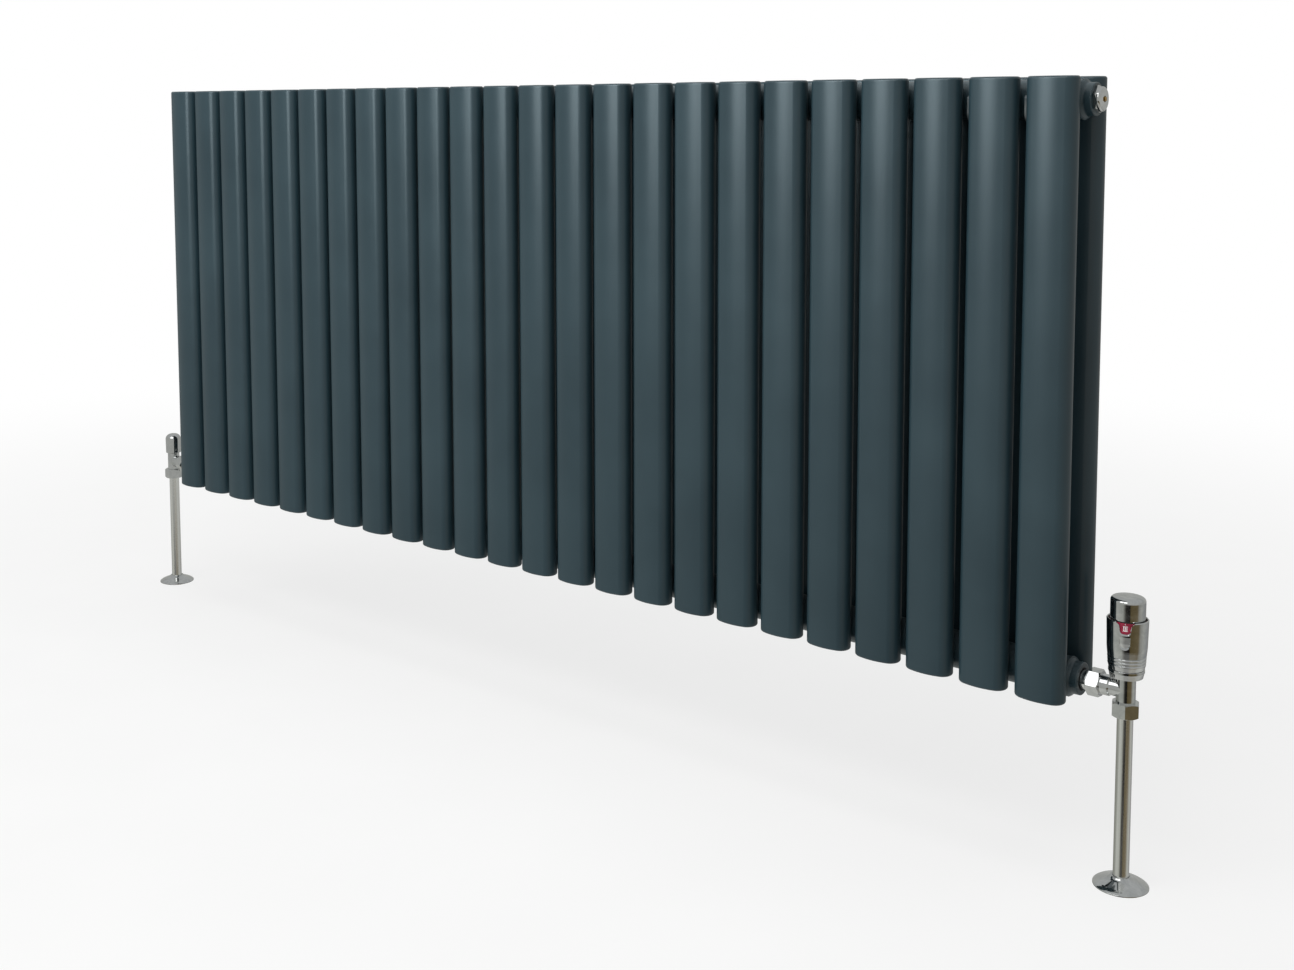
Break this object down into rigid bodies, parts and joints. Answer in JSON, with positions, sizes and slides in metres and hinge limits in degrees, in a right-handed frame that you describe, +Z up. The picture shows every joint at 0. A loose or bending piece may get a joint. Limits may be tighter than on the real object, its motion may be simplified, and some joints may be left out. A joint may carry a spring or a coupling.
{
  "type": "column radiator",
  "caption": "Wall-hung horizontal oval-column radiator in dark grey, with an angled thermostatic valve, a lockshield valve, chrome pipes and floor roses.",
  "frame": {"origin": "on the wall, at the centre of the four outer wall fixing holes of the brackets", "axes": "+X along the radiator to its right as seen from the room, +Y into the wall (the front faces -Y), +Z up"},
  "size_m": [1.578, 0.12, 0.776],
  "materials": {
    "radiator_paint": "satin anthracite powder coat",
    "chrome_plate": "polished chrome plate on brass and copper",
    "brass": "turned, unpolished",
    "seal_rubber": "black moulded rubber",
    "liner_plastic": "white moulded nylon",
    "zinc_plated_steel": "bright zinc plate on pressed steel",
    "dial_red": "glossy red moulded plastic",
    "white_plastic": "white moulded acetal",
    "sensor_aluminium": "drawn aluminium can",
    "stainless_steel": "drawn stainless wire and rod"
  },
  "bodies": {
    "radiator": {"front_column_01": "radiator_paint", "front_column_02": "radiator_paint", "front_column_03": "radiator_paint", "front_column_04": "radiator_paint", "front_column_05": "radiator_paint", "front_column_06": "radiator_paint", "front_column_07": "radiator_paint", "front_column_08": "radiator_paint", "front_column_09": "radiator_paint", "front_column_10": "radiator_paint", "front_column_11": "radiator_paint", "front_column_12": "radiator_paint", "front_column_13": "radiator_paint", "front_column_14": "radiator_paint", "front_column_15": "radiator_paint", "front_column_16": "radiator_paint", "front_column_17": "radiator_paint", "front_column_18": "radiator_paint", "front_column_19": "radiator_paint", "front_column_20": "radiator_paint", "front_column_21": "radiator_paint", "front_column_22": "radiator_paint", "front_column_23": "radiator_paint", "front_column_24": "radiator_paint", "rear_columns": "radiator_paint", "top_header": "radiator_paint", "bottom_header": "radiator_paint", "header_bosses": "radiator_paint", "vent_plug": "chrome_plate", "blanking_plug": "chrome_plate", "trv_body": "chrome_plate", "trv_fixing_collar": "chrome_plate", "trv_sleeve": "chrome_plate", "lockshield_body": "chrome_plate", "trv_tailpiece": "chrome_plate", "lockshield_tailpiece": "chrome_plate", "union_nuts": "chrome_plate", "compression_nuts": "chrome_plate", "pipe_right": "chrome_plate", "pipe_left": "chrome_plate", "trv_insert": "brass", "olives": "brass", "lockshield_gland": "brass", "thread_seals": "seal_rubber", "bracket_liners": "liner_plastic", "upper_brackets": "zinc_plated_steel", "lower_brackets": "zinc_plated_steel", "trv_stem_spring": "stainless_steel"},
    "thermostat_knob": {"trv_cap": "chrome_plate", "trv_scale_drum": "dial_red"},
    "thermostat_stem": {"trv_sensor": "sensor_aluminium", "trv_pusher": "white_plastic", "trv_stem": "stainless_steel", "trv_disc": "seal_rubber"},
    "lockshield_cap": {"lockshield_cap": "chrome_plate"},
    "lockshield_spindle": {"lockshield_spindle": "brass"},
    "lockshield_plug": {"lockshield_plug": "brass"},
    "vent_screw": {"vent_screw": "brass"},
    "rose_right": {"rose_right": "chrome_plate"},
    "rose_left": {"rose_left": "chrome_plate"}
  },
  "joints": [
    {"name": "thermostat_turn", "type": "hinge", "parent": "radiator", "child": "thermostat_knob", "pos_m": [0.75, -0.075, -0.282], "axis": [0, 0, 1], "range_deg": [-160, 80]},
    {"name": "thermostat_stem_travel", "type": "slide", "parent": "radiator", "child": "thermostat_stem", "axis": [0, 0, 1], "range_m": [-0.00168, 0.00084], "deforming": ["trv_stem_spring"]},
    {"name": "lockshield_cap_lift", "type": "slide", "parent": "radiator", "child": "lockshield_cap", "axis": [0, 0, 1], "range_m": [0, 0.06]},
    {"name": "lockshield_turn", "type": "hinge", "parent": "radiator", "child": "lockshield_spindle", "pos_m": [-0.776, -0.075, -0.282], "axis": [0, 0, 1], "range_deg": [-360, 360]},
    {"name": "lockshield_plug_travel", "type": "slide", "parent": "radiator", "child": "lockshield_plug", "axis": [0, 0, 1], "range_m": [-0.00125, 0.00125]},
    {"name": "vent_screw_turn", "type": "hinge", "parent": "radiator", "child": "vent_screw", "pos_m": [0.708, -0.075, 0.278], "axis": [1, 0, 0], "range_deg": [0, 270]},
    {"name": "rose_right_lift", "type": "slide", "parent": "radiator", "child": "rose_right", "axis": [0, 0, 1], "range_m": [0, 0.14]},
    {"name": "rose_left_lift", "type": "slide", "parent": "radiator", "child": "rose_left", "axis": [0, 0, 1], "range_m": [0, 0.14]}
  ],
  "couplings": [
    {"joint": "thermostat_turn", "follows": "thermostat_stem_travel", "rad_per_m": 1666.7},
    {"joint": "lockshield_turn", "follows": "lockshield_plug_travel", "rad_per_m": 5026.5}
  ]
}
